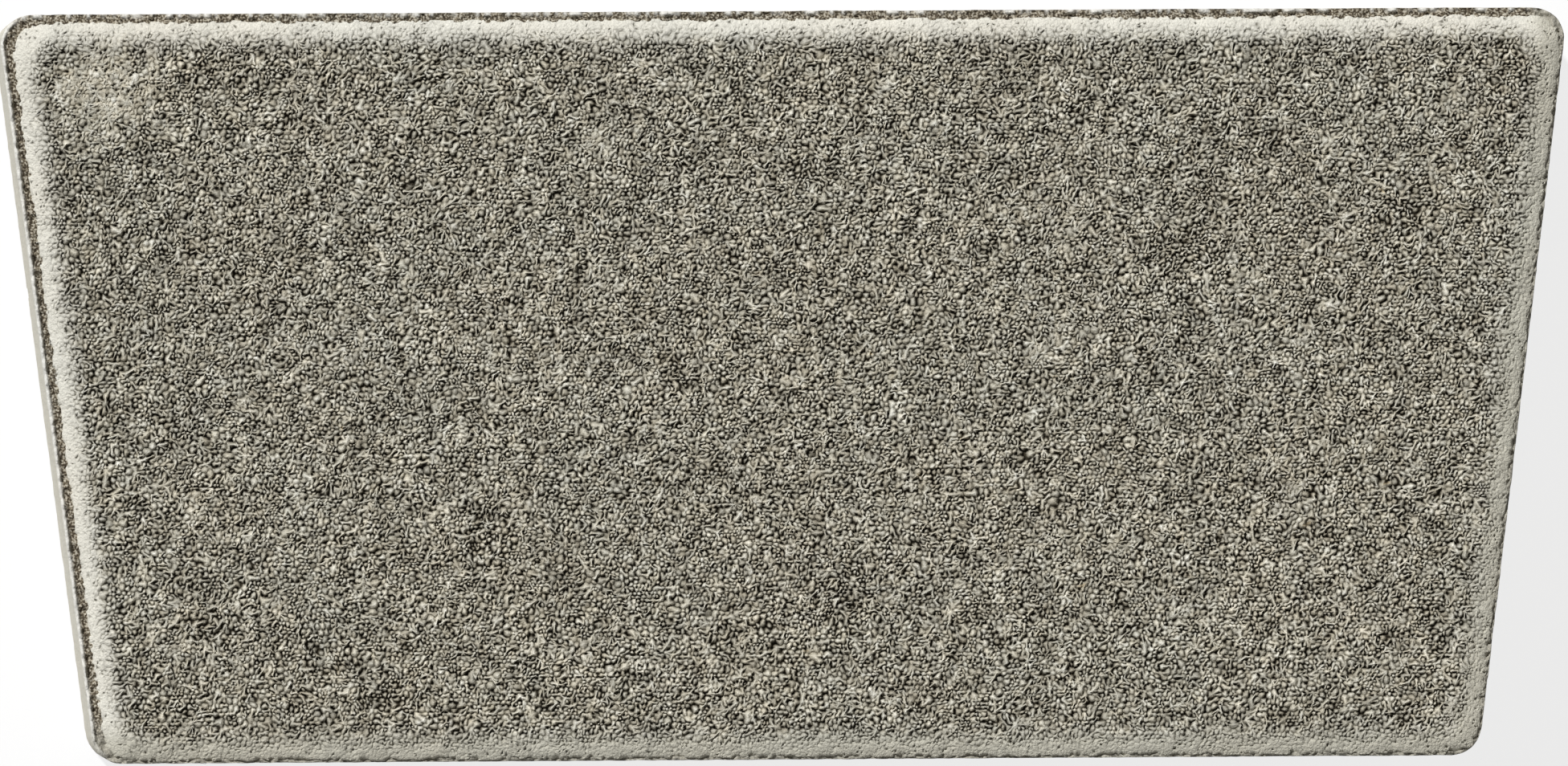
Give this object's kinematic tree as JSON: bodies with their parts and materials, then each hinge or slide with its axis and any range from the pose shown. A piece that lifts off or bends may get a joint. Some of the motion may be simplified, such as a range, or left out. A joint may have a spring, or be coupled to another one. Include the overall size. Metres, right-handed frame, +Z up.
{
  "type": "lawn edging stone",
  "caption": "Tapered concrete lawn edging stone with a bevelled wearing face; laid end to end along a lawn, straight or in a curve.",
  "frame": {"origin": "middle of the underside, which lies on the bedding; centred between the legs and between the front and back edges", "axes": "+Z up through the wearing face, X along the long edge, +Y towards the long back edge, -Y towards the short front edge"},
  "size_m": [0.2486, 0.119, 0.045],
  "materials": {
    "concrete": "open-textured pressed concrete, grey sand grain"
  },
  "bodies": {
    "root": {"edging_stone": "concrete"}
  },
  "joints": []
}
